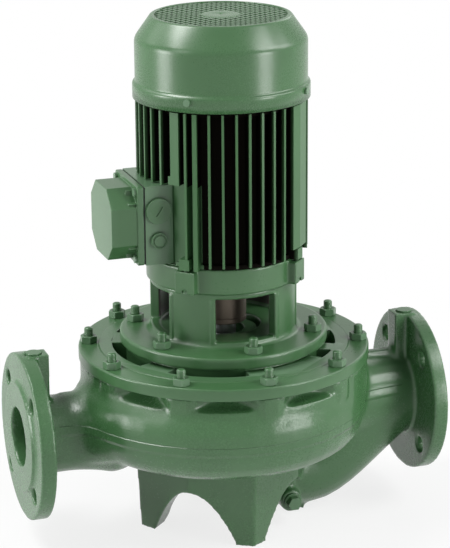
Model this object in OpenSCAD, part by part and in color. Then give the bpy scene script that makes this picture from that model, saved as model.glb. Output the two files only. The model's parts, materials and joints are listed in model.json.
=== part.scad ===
// In-line circulation pump with its electric motor standing on top.
// X runs along the pipe, +X is the suction end, -Y is the front, Z is up.
// The origin is on the pump axis, at the level of the feet.

/* [Pipework] */
// Length between the two outer flange faces
face_to_face = 475; // [450:5:520]
// Height of the pipe axis above the feet
axis_height = 125; // [125:1:140]
// Bore of both pipe connections
pipe_bore = 65; // [60:1:68]
// Outside diameter of the pipe flanges
flange_od = 185; // [180:1:195]
// Thickness of the pipe flanges with the raised face
flange_t = 20; // [18:0.5:24]
// Bolt circle of the pipe flanges
flange_pcd = 145; // [142:1:152]
// Diameter of the flange bolt holes
flange_hole_d = 18; // [14:0.5:19]
// Diameter of the raised sealing face
raised_face_d = 122; // [110:1:124]
// Height of the raised sealing face
raised_face_h = 3; // [2:0.5:3.5]
// Outside radius of the necks behind the flanges
neck_r = 43; // [41:0.5:46]
// Diameter of the gauge tapping plugs
gauge_plug_d = 17; // [12:0.5:18]

/* [Volute casing] */
// Height of the volute centre above the pipe axis
volute_rise = 18; // [14:1:22]
// Outside radius of the scroll just after the tongue
scroll_r_start = 140; // [136:1:146]
// Outside radius of the scroll at the discharge
scroll_r_end = 179; // [174:1:184]
// Half height of the scroll outside
scroll_half_h = 46; // [43:0.5:47]
// Thickness of the scroll wall
scroll_wall = 8; // [6:0.5:10]
// Height of the casing's machined top above the pipe axis
casing_rise = 70; // [68:0.5:76]
// Radius of the stud bosses and the drum
drum_r = 160; // [157:0.5:161]
// Radius of the recessed wall between the bosses
recess_r = 143; // [141:0.5:146]
// Width of each stud boss
boss_w = 18; // [16:0.5:22]
// Depth of the axis of the suction bend below the pipe axis
bend_drop = 79; // [74:1:80]

/* [Feet] */
// Distance from the pump axis to the corner of each foot
foot_r = 100; // [96:1:106]
// Distance from the pump axis to the inner wall of the feet
foot_inner_r = 66; // [60:1:70]
// Half width of the arch between two feet at floor level
arch_half_w = 51; // [44:1:54]
// Height of the arch between two feet
arch_h = 58; // [48:1:62]
// Height of the hollow inside the feet
foot_hollow_h = 81; // [79:1:84]

/* [Cover and bracket] */
// Outside diameter of the casing cover
cover_od = 323; // [321:1:330]
// Thickness of the casing cover at its rim
cover_t = 14.5; // [12:0.5:18]
// Distance from the cover studs in to the cover's spigot
stud_to_spigot = 17; // [16:0.5:20]
// Number of cover studs
cover_studs_n = 10; // [8:1:12]
// Distance from the cover's edge in to its studs
cover_stud_edge = 11.5; // [10.5:0.5:13]
// Number of bracket studs
bracket_studs_n = 6; // [4:1:8]
// Bolt circle of the bracket studs
bracket_pcd = 201; // [196:1:206]
// Diameter of all studs
stud_d = 10; // [8:0.5:11]
// Width across the flats of the nuts
nut_af = 17; // [15:0.5:18]
// Height of the nuts
nut_h = 8; // [6:0.5:9]
// How far a stud stands out of its nut
stud_end = 9.5; // [5:0.5:12]
// Outside diameter of the bracket's lower flange
bracket_od = 230; // [226:1:236]
// Thickness of the bracket's lower flange
bracket_flange_t = 13; // [11:0.5:16]
// Outside radius of the bracket's wall
bracket_r = 80.5; // [79:0.5:83]
// Height of the bracket
bracket_h = 74; // [70:1:84]
// Half angle of each window in the bracket
window_half = 25; // [18:1:28]

/* [Motor] */
// How far the lower shield ring stands out past the shell
shield_lip = 4.5; // [4:0.5:8]
// Height of the lower shield ring
shield_h = 28; // [26:1:34]
// Height of the cooling fins above the shell
fin_depth = 13.3; // [10:0.1:15]
// Radius of the smooth shell under the fins
shell_r = 80; // [79:0.5:82]
// Length of the finned frame
frame_len = 172; // [166:1:190]
// Number of fin places round the frame
fin_places = 40; // [36:4:44]
// Thickness of a fin
fin_t = 2.6; // [2:0.1:3.5]
// How far the fan cover's skirt stands out
skirt_lip = 2.9; // [2:0.1:4.5]
// Height of the fan cover's skirt
skirt_h = 18; // [14:1:20]
// Height of the whole fan cover
fan_cover_h = 88; // [84:1:100]
// Height of the cone at the top of the fan cover
cone_h = 25; // [18:1:28]
// How far the cone leans in
cone_lean = 17.4; // [14:0.1:22]
// Sheet thickness of the fan cover
sheet_t = 1.6; // [1.2:0.1:2]
// Outside radius of the cooling fan
fan_r = 72; // [60:1:80]
// Number of fan blades
fan_blades = 9; // [7:1:11]

/* [Terminal box] */
// Width of the terminal box across the motor
box_w = 84; // [80:1:90]
// Height of the terminal box
box_h = 87; // [82:1:92]
// Distance from the motor's shell to the box's lid joint
box_reach = 20.5; // [18:0.5:26]
// Depth of the lid beyond the joint
lid_depth = 35.5; // [30:0.5:40]
// Height of the box centre above the pipe axis
box_centre_rise = 236.5; // [234:0.5:244]

/* [Rotor] */
// Outside radius of the impeller
impeller_r = 103; // [96:1:105]
// Number of impeller vanes
impeller_vanes = 6; // [5:1:7]
// Radius of the shaft in the lantern
shaft_r = 14; // [13:0.5:14.5]
// Radius of the impeller's eye ring
eye_r = 42; // [38:0.5:43]
// Running gap between stator and rotor
air_gap = 0.5; // [0.3:0.1:1]

/* [Hidden] */
$fn = 64;

green = [0.33, 0.47, 0.36];
dark_green = [0.27, 0.39, 0.30];
steel = [0.62, 0.64, 0.66];
bronze = [0.66, 0.50, 0.29];
rubber = [0.10, 0.10, 0.11];
copper = [0.72, 0.43, 0.25];

// Clearances used wherever one piece sits in, on or beside another
fit = 0.1;
run_fit = 0.05;
loose = 0.5;
soft_gap = 0.3;
weld = 2;

// Heights of the main joints above the feet
volute_z = axis_height + volute_rise;
casing_top = axis_height + casing_rise;
cover_top = casing_top + cover_t;
cover_pcd = cover_od - 2 * cover_stud_edge;
spigot_r = cover_pcd / 2 - stud_to_spigot;
nut_land = cover_top - 1;
nut_land_r = spigot_r + 6;
hub_top = cover_top + 4;
bracket_land = hub_top + bracket_flange_t;
motor_z = hub_top + bracket_h;
shield_top = motor_z + shield_h;
frame_top = shield_top + frame_len;
end_shield_h = 12;
fan_cover_z = frame_top + 1;
fan_cover_top = fan_cover_z + fan_cover_h;
box_z = axis_height + box_centre_rise;

// Casing
eye_z = axis_height - 26;
chamber_floor = axis_height - 14;
impeller_face = axis_height + 8;
impeller_back = axis_height + 31;
cover_plate_z = axis_height + 36;
cover_plate_t = 8;
skirt_top = axis_height - 10;
skirt_flare = 1.06;
core_r = 90;
scroll_inner_r = 84;
tongue = 155;
throat = 0.93;
arm_lean = 30.6;
neck_flare = 34;
gauge_boss_w = 23;
gauge_boss_reach = 14;
gauge_plug_depth = 9;
drain_x = 62;
drain_drop = 98;
drain_boss_r = 13;
drain_boss_y = -54;
stud_depth = 20;
hollow_r = 113;

// Cover pockets as pairs of start and end angle, from the front towards +X
pockets = [[-105, -65], [-47, -6], [40, 53], [64, 84], [105, 125], [140, 182], [198, 238]];
hub_ring_r = 108;
pocket_r = hub_ring_r + (spigot_r - hub_ring_r) * 0.64;
hub_ring_in = 88;
seal_tube_r = 37;
seat_z = axis_height + 66;
seat_h = 10;
seal_r = 22;
throat_r = 23;

// Bracket
window_low = hub_top + 19;
window_high = hub_top + 67.5;
bracket_wall = 10;
floor_hole_r = 41;
bracket_top_hole_r = 52;
bracket_screw_pcd = 124;
pedestal_h = 5.5;

// Motor
shell_wall = 5;
fin_root = shell_r - 1.5;
fin_r = shell_r + fin_depth;
shield_r = shell_r + shield_lip;
fan_cover_r = fin_r - fit;
skirt_r = fan_cover_r + skirt_lip;
fan_cover_top_r = fan_cover_r - cone_lean;
box_joint = shell_r + box_reach;
corner_fins = 2;
fin_low = shield_top + 4;
fin_high = frame_top - 1;
corner_low = shield_top + 13;
saddle_x = shell_r - 10;
cap_x = shell_r + 6;
cap_room = 5;
de_bearing_z = motor_z + 6;
de_bearing_w = 19;
de_bearing_r = 36;
de_seat_r = 15;
nde_bearing_w = 15;
nde_bearing_z = frame_top - 6;
nde_bearing_r = 26;
nde_seat_r = 12.5;
core_z = shield_top + 32;
core_len = frame_len - 72;
rotor_r = 44;
shaft_core_r = 19;
fan_z = frame_top + end_shield_h + 12;
fan_h = 30;
screw_turn = 4.5;

// Turns an angle measured from the front towards +X into one from +X
function turn(a) = a - 90;

// Angle of the scroll section, counted along the flow from the tongue
function along(a) = (tongue + 90 - a) / 360;
// The scroll grows up to the discharge and then closes on the tongue
function growth(s) = s < throat ? s : throat * (1 - pow((s - throat) / (1 - throat), 2));
function scroll_outer(a) = scroll_r_start + (scroll_r_end - scroll_r_start) * growth(along(a));

// Points of an egg-shaped section in its own plane
function oval(cx, cz, w, h, n, p = 2.2) = [for (i = [0 : n - 1])
    let (t = 360 * i / n, c = cos(t), s = sin(t))
    [cx + w * sign(c) * pow(abs(c), 2 / p), cz + h * sign(s) * pow(abs(s), 2 / p)]];

// Closed tube through rings of equal length, with a flat cap at each end
module loft(rings) {
    n = len(rings[0]);
    m = len(rings);
    pts = [for (r = rings) each r];
    sides = [for (j = [0 : m - 2]) for (i = [0 : n - 1])
        let (a = j * n + i, b = j * n + (i + 1) % n)
        each [[b, a, b + n], [b + n, a, a + n]]];
    first = [for (i = [0 : n - 1]) i];
    last = [for (i = [n - 1 : -1 : 0]) (m - 1) * n + i];
    polyhedron(pts, concat(sides, [first, last]));
}

// Ring-shaped block between two angles
module arc_block(r0, r1, z0, z1, a0, a1) {
    rotate([0, 0, turn(a0)])
        rotate_extrude(angle = a1 - a0)
            translate([r0, z0])
                square([r1 - r0, z1 - z0]);
}

// Ring with a round bore
module ring(r_out, r_in, z0, z1) {
    translate([0, 0, z0])
        difference() {
            cylinder(r = r_out, h = z1 - z0);
            translate([0, 0, -1])
                cylinder(r = r_in, h = z1 - z0 + 2);
        }
}

// Copies at equal angles on a circle, the first one at the front
module round_row(n, r, start = 0) {
    for (i = [0 : n - 1])
        rotate([0, 0, turn(start + i * 360 / n)])
            translate([r, 0, 0])
                children();
}

module hex_nut(af, h, bore_r) {
    difference() {
        rotate([0, 0, 30])
            cylinder(r = af / sqrt(3), h = h, $fn = 6);
        translate([0, 0, -1])
            cylinder(r = bore_r, h = h + 2);
    }
}

// Scroll of the volute, shrunk by the wall thickness for its inside
module scroll(wall, n, steps) {
    first = tongue + 90;
    rings = [for (k = [0 : steps])
        let (a = first - 360 * k / steps * 0.997, r1 = scroll_outer(a) - wall, r0 = scroll_inner_r + wall,
            w = (r1 - r0) / 2, h = scroll_half_h - wall * 1.6, q = turn(a))
        [for (p = oval(r0 + w, volute_z, w, h, n)) [p[0] * cos(q), p[0] * sin(q), p[1]]]];
    loft(rings);
}

// Piece that joins the scroll's end to its start at the tongue
module scroll_closure() {
    w = (scroll_r_start - scroll_inner_r) / 2;
    rotate([0, 0, turn(tongue + 86)])
        rotate_extrude(angle = 8)
            polygon(oval(scroll_inner_r + w, volute_z, w - 0.5, scroll_half_h - 0.5, 22));
}

// Middle line of the suction bend as two curved stretches
function curve(a, b, c, d, t) = let (s = 1 - t) s * s * s * a + 3 * s * s * t * b + 3 * s * t * t * c + t * t * t * d;
function slope(a, b, c, d, t) = let (s = 1 - t) s * s * (b - a) + 2 * s * t * (c - b) + t * t * (d - c);

bend_start = face_to_face / 2 - flange_t + 8;
bend_x = 95;
bend_low = axis_height - bend_drop;
fall = [[bend_start, axis_height], [bend_start - 38, axis_height], [bend_x + 35, bend_low], [bend_x, bend_low]];
rise = [[bend_x, bend_low], [bend_x - 42, bend_low], [0, bend_low + 8], [0, eye_z + 2]];

function bend_ring(c, t, r, n) = let (x = curve(c[0][0], c[1][0], c[2][0], c[3][0], t),
    z = curve(c[0][1], c[1][1], c[2][1], c[3][1], t),
    dx = slope(c[0][0], c[1][0], c[2][0], c[3][0], t),
    dz = slope(c[0][1], c[1][1], c[2][1], c[3][1], t), d = norm([dx, dz]))
    [for (i = [0 : n - 1]) let (u = r * cos(360 * (i + 0.35) / n), v = r * sin(360 * (i + 0.35) / n))
        [x - u * dz / d, -v, z + u * dx / d]];

// Suction bend from the flange down and up into the impeller's eye
module suction_bend(r, n, steps) {
    down = [for (k = [0 : steps]) bend_ring(fall, k / steps, r, n)];
    up = [for (k = [1 : steps]) bend_ring(rise, k / steps, r, n)];
    loft(concat(down, up));
}

// Discharge neck that spreads where it meets the scroll and runs out inside it
module discharge_neck(n, steps) {
    x0 = face_to_face / 2 - flange_t + 8;
    x1 = scroll_outer(-90) - 34;
    x2 = scroll_inner_r + 6;
    outside = [for (k = [0 : steps]) x0 + (x1 - x0) * k / steps];
    inside = [for (k = [1 : 4]) x1 + (x2 - x1) * k / 4];
    rings = [for (x = concat(outside, inside))
        let (s = max(0, min(0.98, (x1 + neck_flare + 4 - x) / (neck_flare + 5))),
            u = max(0, (x1 - x) / (x1 - x2)),
            w = (neck_r + neck_flare * (1 - sqrt(1 - s * s))) * (1 - 0.5 * u * u),
            h = (neck_r + 4 * s) * (1 - 0.4 * u * u))
        [for (p = oval(0, axis_height - 1.5 + 14 * u * u, w, h, n, 2)) [-x, p[0], p[1]]]];
    loft(rings);
}

// Wall between the suction bend and the drum above it
module suction_shoulder(n, steps) {
    x0 = face_to_face / 2 - flange_t + 8;
    x1 = 118;
    rings = [for (k = [0 : steps])
        let (t = k / steps, x = x0 + (x1 - x0) * t, w = neck_r - 1 + 20 * t * t, h = neck_r - 1 + 4 * t)
        [for (p = oval(0, axis_height + 2 * t, w, h, n, 2.3)) [x, -p[0], p[1]]]];
    loft(rings);
}

// Foot frame: an eight-sided skirt with an arch between the feet
module feet() {
    lean = tan(arm_lean);
    mid = foot_r / (sin(45) + cos(45) * lean);
    outline = [for (i = [0 : 7]) let (r = i % 2 == 0 ? foot_r : mid) [r * cos(45 * i), r * sin(45 * i)]];
    arch = [for (i = [-10 : 10]) let (s = i / 10) [arch_half_w * s, arch_h * (1 - s * s)]];
    difference() {
        linear_extrude(height = skirt_top, scale = skirt_flare)
            polygon(outline);
        translate([0, 0, -1])
            cylinder(r = foot_inner_r, h = foot_hollow_h + 1);
        for (a = [0, 90])
            rotate([90, 0, a + 45])
                translate([0, -0.5, -foot_r - 20])
                    linear_extrude(height = 2 * foot_r + 40)
                        polygon(concat(arch, [[arch_half_w, -2], [-arch_half_w, -2]]));
    }
}

// One pipe flange on the +X side
module flange_blank() {
    translate([face_to_face / 2 - flange_t, 0, axis_height])
        rotate([0, 90, 0]) {
            cylinder(d = flange_od, h = flange_t - raised_face_h);
            cylinder(d = raised_face_d, h = flange_t);
        }
}

// Boss on top of a flange, drawn on the +X side
module gauge_boss() {
    translate([gauge_x - gauge_boss_reach, -gauge_boss_w / 2, axis_height + neck_r - 4])
        cube([gauge_boss_reach + 9, gauge_boss_w, gauge_top - axis_height - neck_r + 4]);
}

module flange_holes() {
    translate([face_to_face / 2 - flange_t - 1, 0, axis_height])
        rotate([0, 90, 0])
            for (i = [0 : 3])
                rotate([0, 0, 45 + 90 * i])
                    translate([flange_pcd / 2, 0, 0])
                        cylinder(d = flange_hole_d, h = flange_t + 2);
}

gauge_x = face_to_face / 2 - flange_t;
gauge_top = axis_height + flange_od / 2 + 1.5;
boss_in = 120;

// Boss for one cover stud
module stud_boss() {
    translate([boss_in, -boss_w / 2, casing_top - 24])
        cube([drum_r - boss_in, boss_w, 24]);
}

// Sectors between stud bosses that are scooped out, counted from the front
open_sectors = [-2, -1, 0, 3, 4, 5];
scoop_h = 14;
scoop_reach = 34;

// Lens-shaped scoop that runs out on the bosses at both ends, with a sloping floor
module scoop() {
    half = drum_r * sin(180 / cover_studs_n) - boss_w / 2 + 3;
    translate([recess_r + scoop_reach - 2, 0, casing_top - scoop_h])
        scale([scoop_reach / half, 1, 1])
            cylinder(r1 = half + 3, r2 = half - 2, h = scoop_h + 1, $fn = 48);
}

// Everything of the casing that is left rough from the mould, hollow inside
module raw_casting() {
    difference() {
        union() {
            scroll(0, 22, 44);
            scroll_closure();
            suction_bend(neck_r, 24, 12);
            discharge_neck(24, 10);
            suction_shoulder(24, 8);
            feet();
            // Core that joins feet, bend and scroll
            translate([0, 0, skirt_top - 20])
                cylinder(r = core_r, h = volute_z - skirt_top + 10);
            // Shoulder under the cover, scooped out between the stud bosses
            difference() {
                rotate_extrude($fn = 96)
                    polygon([[96, volute_z], [drum_r - 2, volute_z], [drum_r - 2, casing_top],
                        [96, casing_top]]);
                for (i = open_sectors)
                    rotate([0, 0, turn((i + 0.5) * 360 / cover_studs_n)])
                        scoop();
            }
            round_row(cover_studs_n, 0)
                stud_boss();
            // Closed drum beside the two necks
            arc_block(125, drum_r + 0.5, volute_z + 8, casing_top, -132, -79);
            arc_block(125, drum_r + 0.5, volute_z + 8, casing_top, 42, 116);
            // Web from the drum to the suction flange's boss
            translate([drum_r - 20, -6, axis_height + 20])
                cube([face_to_face / 2 - flange_t - drum_r + 18, 12, 31]);
            // Bare pad on the discharge neck
            translate([-190, -9, axis_height + neck_r - 9])
                cube([24, 18, 9]);
            for (side = [0, 1])
                mirror([side, 0, 0])
                    gauge_boss();
            // Drain boss and the rib above it
            translate([drain_x, -20, axis_height - drain_drop])
                rotate([90, 0, 0])
                    cylinder(r = drain_boss_r, h = -drain_boss_y - 20, $fn = 32);
            translate([drain_x - 6, drain_boss_y + 8, axis_height - drain_drop])
                cube([12, 24, 44]);
        }
        scroll(scroll_wall, 16, 40);
        suction_bend(pipe_bore / 2 - 1, 20, 12);
        translate([-face_to_face / 2 - 1, 0, axis_height])
            rotate([0, 90, 0])
                cylinder(r = pipe_bore / 2 - 1, h = face_to_face / 2 - scroll_outer(-90) + 55, $fn = 40);
        rotate_extrude()
                polygon([[0, eye_z - 6], [eye_r - 6, eye_z - 6], [eye_r - 6, eye_z], [eye_r + 5, eye_z],
                    [eye_r + 5, chamber_floor - 2], [eye_r + 8, chamber_floor - 2], [hollow_r, impeller_face - 4],
                    [hollow_r, cover_plate_z], [0, cover_plate_z]]);
    }
}

module volute_casing() {
    color(green)
        difference() {
            union() {
                // One mesh at its own length, because its free-form walls cross in many places
                resize([2 * gauge_x + 18, 0, 0])
                    raw_casting();
                flange_blank();
                mirror([1, 0, 0])
                    flange_blank();
            }
            // Spigot bore, impeller chamber and eye
            translate([0, 0, cover_plate_z - 2])
                cylinder(r = spigot_r + fit, h = casing_top - cover_plate_z + 3);
            // Pipe bores, flange holes and tapped holes
            for (side = [0, 1])
                mirror([side, 0, 0]) {
                    flange_holes();
                    translate([gauge_x, 0, gauge_top - gauge_plug_depth])
                        cylinder(d = gauge_plug_d + 2 * fit, h = 30);
                    translate([gauge_x, 0, axis_height])
                        cylinder(d = 6, h = flange_od / 2);
                }
            for (side = [0, 1])
                mirror([side, 0, 0])
                    translate([face_to_face / 2 + 1, 0, axis_height])
                        rotate([0, -90, 0])
                            cylinder(d = pipe_bore, h = flange_t + 12);
            translate([0, 0, casing_top - stud_depth - 1])
                round_row(cover_studs_n, cover_pcd / 2)
                    cylinder(d = stud_d + 2 * fit, h = stud_depth + 2);
            translate([drain_x, drain_boss_y - 1, axis_height - drain_drop])
                rotate([-90, 0, 0])
                    cylinder(d = 12 + 2 * fit, h = 26);
        }
}

module gauge_plugs() {
    color(dark_green)
        for (side = [-1, 1])
            translate([side * gauge_x, 0, gauge_top - gauge_plug_depth])
                cylinder(d = gauge_plug_d, h = gauge_plug_depth + 1.6);
}

module drain_plug() {
    color(dark_green)
        translate([drain_x, drain_boss_y, axis_height - drain_drop])
            rotate([90, 0, 0]) {
                translate([0, 0, -12])
                    cylinder(d = 12, h = 13);
                cylinder(r = 10, h = 3);
                translate([0, 0, 2])
                    cylinder(r = 14 / sqrt(3), h = 8, $fn = 6);
            }
}

module casing_wear_ring() {
    color(bronze)
        ring(eye_r + 5 - soft_gap, eye_r + 0.3, eye_z + fit, chamber_floor - 3);
}

module casing_o_ring() {
    color(rubber)
        ring(spigot_r + 0.01, spigot_r - 3, casing_top - 12, casing_top - 8.5);
}

module casing_cover() {
    color(green)
        difference() {
            union() {
                rotate_extrude()
                    polygon([[throat_r - 7, seat_z + seat_h], [throat_r - 7, seat_z + seat_h + 10],
                        [throat_r, seat_z + seat_h + 10], [throat_r, hub_top + 11], [seal_tube_r, hub_top + 11],
                        [seal_tube_r, cover_plate_z + cover_plate_t], [hub_ring_in, cover_plate_z + cover_plate_t],
                        [hub_ring_in, hub_top], [hub_ring_r, hub_top],
                        [hub_ring_r, cover_plate_z + cover_plate_t], [pocket_r, cover_plate_z + cover_plate_t],
                        [pocket_r, cover_top], [nut_land_r, cover_top], [nut_land_r, nut_land],
                        [cover_od / 2 - 1.5, nut_land], [cover_od / 2, nut_land - 1.5], [cover_od / 2, casing_top],
                        [spigot_r, casing_top], [spigot_r, cover_plate_z], [seal_tube_r - 7, cover_plate_z],
                        [seal_tube_r - 7, seat_z], [throat_r + 1 + fit, seat_z],
                        [throat_r + 1 + fit, seat_z + seat_h]]);
                // Solid ribs are left between the pockets
                for (i = [0 : len(pockets) - 1])
                    let (a0 = pockets[i][1], a1 = i < len(pockets) - 1 ? pockets[i + 1][0] : pockets[0][0] + 360)
                        arc_block(hub_ring_r - weld, pocket_r + weld, cover_plate_z + 4, cover_top, a0, a1);
            }
            translate([0, 0, casing_top - 1])
                round_row(cover_studs_n, cover_pcd / 2)
                    cylinder(d = stud_d + 1, h = cover_t + 2);
            translate([0, 0, hub_top - stud_depth])
                round_row(bracket_studs_n, bracket_pcd / 2)
                    cylinder(d = stud_d + 2 * fit, h = stud_depth + 1);
            // Groove for the O-ring
            translate([0, 0, casing_top - 12.2])
                difference() {
                    cylinder(r = spigot_r + 1, h = 4);
                    translate([0, 0, -1])
                        cylinder(r = spigot_r - 3.1, h = 6);
                }
        }
}

// Plain stud with its lower end in the tapped hole
module stud(land, foot) {
    translate([0, 0, foot])
        cylinder(d = stud_d, h = land + nut_h + stud_end - foot);
}

module cover_studs() {
    color(steel)
        round_row(cover_studs_n, cover_pcd / 2)
            stud(nut_land, casing_top - stud_depth);
}

module cover_nuts() {
    color(dark_green)
        round_row(cover_studs_n, cover_pcd / 2)
            translate([0, 0, nut_land])
                hex_nut(nut_af, nut_h, stud_d / 2 + run_fit);
}

module bracket_studs() {
    color(steel)
        round_row(bracket_studs_n, bracket_pcd / 2)
            stud(bracket_land, hub_top - stud_depth + 1);
}

module bracket_nuts() {
    color(dark_green)
        round_row(bracket_studs_n, bracket_pcd / 2)
            translate([0, 0, bracket_land])
                hex_nut(nut_af, nut_h, stud_d / 2 + run_fit);
}

module motor_bracket() {
    lip = 3.5;
    color(green)
        difference() {
            union() {
                rotate_extrude()
                    polygon([[floor_hole_r, hub_top], [hub_ring_in - fit - 6, hub_top], [hub_ring_in - fit - 6, hub_top - 4],
                        [hub_ring_in - fit, hub_top - 4], [hub_ring_in - fit, hub_top], [bracket_od / 2, hub_top],
                        [bracket_od / 2, bracket_land - 1.5], [bracket_od / 2 - 1.5, bracket_land],
                        [bracket_r + 5, bracket_land], [bracket_r + 1, bracket_land + pedestal_h - 3],
                        [bracket_r, bracket_land + pedestal_h], [bracket_r, motor_z],
                        [bracket_top_hole_r, motor_z], [bracket_top_hole_r, motor_z - 7],
                        [bracket_r - bracket_wall, motor_z - 7], [bracket_r - bracket_wall, bracket_land + pedestal_h - 2],
                        [floor_hole_r, bracket_land + pedestal_h - 2]]);
                // Raised strips along the window edges
                for (a = [0 : 90 : 270])
                    for (s = [-1, 1])
                        arc_block(bracket_r - 4, bracket_r + 1.2, window_low - 3, window_high,
                            a + s * (window_half + 1.6) - 1.6, a + s * (window_half + 1.6) + 1.6);
            }
            for (a = [0 : 90 : 270])
                arc_block(bracket_r - bracket_wall - 4, bracket_r + 5, window_low, window_high,
                    a - window_half, a + window_half);
            translate([0, 0, hub_top - 1])
                round_row(bracket_studs_n, bracket_pcd / 2)
                    cylinder(d = stud_d + 1, h = bracket_flange_t + 2);
            translate([0, 0, motor_z - 8])
                round_row(4, bracket_screw_pcd / 2, 45)
                    cylinder(d = 9, h = 10);
        }
}

module seal_seat() {
    color([0.85, 0.84, 0.80])
        ring(throat_r + 1, shaft_r + loose, seat_z + 0.4, seat_z + seat_h);
}

module seal_ring() {
    color([0.16, 0.16, 0.17])
        ring(seal_r, shaft_r + run_fit, seat_z - 10, seat_z + 0.3);
}

module seal_spring() {
    turns = 3;
    wire = 1.5;
    span = seat_z - 10 - impeller_hub_top;
    color(steel)
        for (k = [0 : turns - 1])
            translate([0, 0, impeller_hub_top + wire + fit + k * (span - 2 * wire - 2 * fit) / (turns - 1)])
                rotate_extrude()
                    translate([shaft_r + wire + 1, 0])
                        circle(r = wire, $fn = 24);
}

impeller_hub_top = axis_height + 36;
impeller_hub_low = axis_height + 3;

module impeller() {
    shroud = 4;
    vane_low = impeller_face + 2;
    color(bronze)
        difference() {
            union() {
                // Back shroud with its hub
                rotate_extrude()
                    polygon([[12.05, impeller_hub_low], [20, impeller_hub_low], [26, impeller_back - 9],
                        [40, impeller_back - shroud], [impeller_r, impeller_back - shroud],
                        [impeller_r, impeller_back], [24, impeller_back], [21, impeller_hub_top],
                        [12.05, impeller_hub_top]]);
                // Front shroud with its eye ring
                rotate_extrude()
                    polygon([[eye_r - 4, eye_z + 1], [eye_r, eye_z + 1], [eye_r, chamber_floor + 1],
                        [impeller_r, impeller_face], [impeller_r, impeller_face + 3.5],
                        [eye_r - 1, chamber_floor + 7], [eye_r - 4, chamber_floor + 1]]);
                // Backward-curved vanes
                for (i = [0 : impeller_vanes - 1])
                    rotate([0, 0, i * 360 / impeller_vanes])
                        intersection() {
                            translate([0, 0, chamber_floor + 2])
                                linear_extrude(height = impeller_back - shroud / 2 - chamber_floor - 2)
                                    vane_outline();
                            rotate_extrude()
                                polygon([[30, chamber_floor + 8], [eye_r - 1, chamber_floor + 5],
                                    [impeller_r - 1, impeller_face + 1.5], [impeller_r - 1, impeller_back - shroud / 2],
                                    [30, impeller_back - shroud / 2]]);
                        }
            }
            translate([0, -4 - fit, impeller_hub_low - 1])
                cube([15 + fit, 8 + 2 * fit, impeller_hub_top - impeller_hub_low + 2]);
        }
}

// Vane as a crescent between two circles
module vane_outline() {
    difference() {
        translate([33, 45])
            circle(r = 62);
        translate([33, 45])
            circle(r = 57);
        translate([-120, -40])
            square([150, 200]);
        translate([-10, 40])
            square([130, 120]);
    }
}

module impeller_key() {
    color(steel)
        translate([8, -4, impeller_hub_low + 2])
            cube([7, 8, impeller_hub_top - impeller_hub_low - 4]);
}

module impeller_washer() {
    color(steel)
        ring(17, 8 + run_fit, impeller_hub_low - 3, impeller_hub_low);
}

module impeller_nut() {
    color(steel)
        translate([0, 0, impeller_hub_low - 15])
            hex_nut(24, 12, 8 + run_fit);
}

module pump_shaft() {
    color(steel)
        difference() {
            rotate_extrude()
                polygon([[0, impeller_hub_low - 17], [7, impeller_hub_low - 17], [8, impeller_hub_low - 16],
                    [8, impeller_hub_low], [12, impeller_hub_low], [12, impeller_hub_top],
                    [shaft_r, impeller_hub_top], [shaft_r, de_bearing_z - 1],
                    [de_seat_r, de_bearing_z - 1], [de_seat_r, de_bearing_z + de_bearing_w],
                    [shaft_core_r - 1, de_bearing_z + de_bearing_w], [shaft_core_r - 1, core_z - 8],
                    [shaft_core_r, core_z - 8], [shaft_core_r, core_z + core_len + 2],
                    [nde_seat_r + 3, core_z + core_len + 2], [nde_seat_r + 3, nde_bearing_z],
                    [nde_seat_r, nde_bearing_z], [nde_seat_r, nde_bearing_z + nde_bearing_w],
                    [11, nde_bearing_z + nde_bearing_w], [11, fan_z + fan_h - 4], [10, fan_z + fan_h - 3],
                    [0, fan_z + fan_h - 3]]);
            translate([8 - fit, -4 - fit, impeller_hub_low + 2 - fit])
                cube([10, 8 + 2 * fit, impeller_hub_top - impeller_hub_low - 4 + 2 * fit]);
        }
}

module slinger_ring() {
    color(rubber)
        rotate_extrude()
            polygon([[shaft_r + run_fit, motor_z - 9], [shaft_r + 5, motor_z - 9], [shaft_r + 11, motor_z - 3],
                [shaft_r + 8, motor_z - 1], [shaft_r + run_fit, motor_z - 1]]);
}

lug_w = 23;
lug_h = shield_h - 3;
lug_out = shell_r + 12;
lug_hole_r = shell_r + 8.5;

module drive_end_shield() {
    color(green)
        difference() {
            union() {
                rotate_extrude()
                    polygon([[de_seat_r + 2, motor_z], [shield_r, motor_z], [shield_r, shield_top],
                        [shield_r - 12, shield_top], [shield_r - 12, motor_z + 8], [de_bearing_r + 9, motor_z + 8],
                        [de_bearing_r + 7, de_bearing_z + de_bearing_w], [de_bearing_r + fit / 2, de_bearing_z + de_bearing_w],
                        [de_bearing_r + fit / 2, de_bearing_z - 1], [de_seat_r + 2, de_bearing_z - 1]]);
                round_row(4, lug_out - 8, 45)
                    translate([-8, -lug_w / 2, motor_z + 1])
                        cube([17.5, lug_w, lug_h]);
            }
            translate([0, 0, motor_z - 1])
                round_row(4, bracket_screw_pcd / 2, 45)
                    cylinder(d = 8 + 2 * fit, h = 12);
            translate([0, 0, motor_z])
                round_row(4, lug_hole_r, 45) {
                    cylinder(d = 5 + 2 * fit, h = shield_h + 1);
                    cylinder(r = 8 / sqrt(3) + 0.5, h = 6);
                }
        }
}

module bracket_screws() {
    color(steel)
        round_row(4, bracket_screw_pcd / 2, 45)
            translate([0, 0, motor_z - 7]) {
                cylinder(d = 8, h = 14);
                translate([0, 0, -5])
                    cylinder(r = 13 / sqrt(3), h = 5, $fn = 6);
            }
}

module shield_screws() {
    color(dark_green)
        round_row(4, lug_hole_r, 45)
            translate([0, 0, motor_z + 2]) {
                cylinder(r = 8 / sqrt(3), h = 4, $fn = 6);
                translate([0, 0, 4])
                    cylinder(d = 5, h = shield_h - 2);
            }
}

function is_corner(i) = let (q = fin_places / 4, m = (i + q / 2) % q) m <= corner_fins - 1 || m >= q - corner_fins + 1;
function fin_angle(i) = i * 360 / fin_places;

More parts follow.
